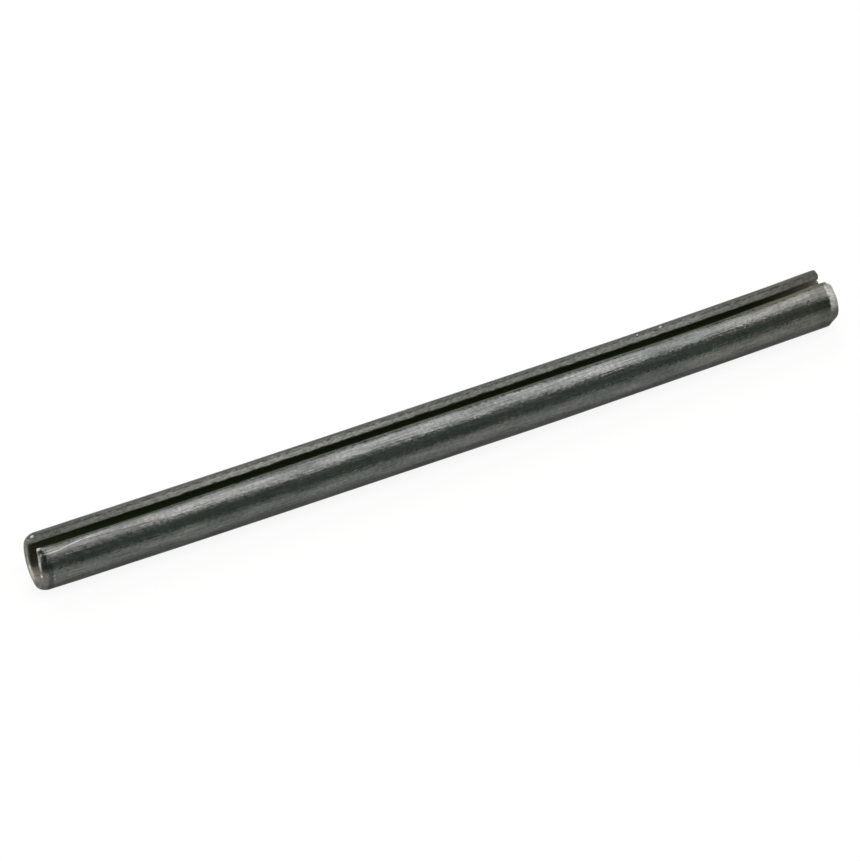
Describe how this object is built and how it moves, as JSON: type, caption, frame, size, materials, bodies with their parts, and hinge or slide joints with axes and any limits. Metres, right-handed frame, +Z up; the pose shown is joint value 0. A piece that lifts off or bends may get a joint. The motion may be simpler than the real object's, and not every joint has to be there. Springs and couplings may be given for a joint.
{
  "type": "spring roll pin",
  "caption": "Slotted spring pin: a rolled steel tube with one long open slot, a round nose at one end and a chamfer at the other, for driving into a slightly smaller hole.",
  "frame": {"origin": "on the pin's axis, midway between its two ends", "axes": "+X along the axis from the round nose towards the ground chamfer, +Z straight up through the middle of the slot, as the pin comes to rest on its back"},
  "size_m": [0.1, 0.0066, 0.0064],
  "materials": {
    "spring_steel": "dark hardened and oiled, satin, with fine drawn lines along the pin and bare bright metal on the ground chamfer"
  },
  "bodies": {
    "root": {"spring_pin": "spring_steel"}
  },
  "joints": []
}
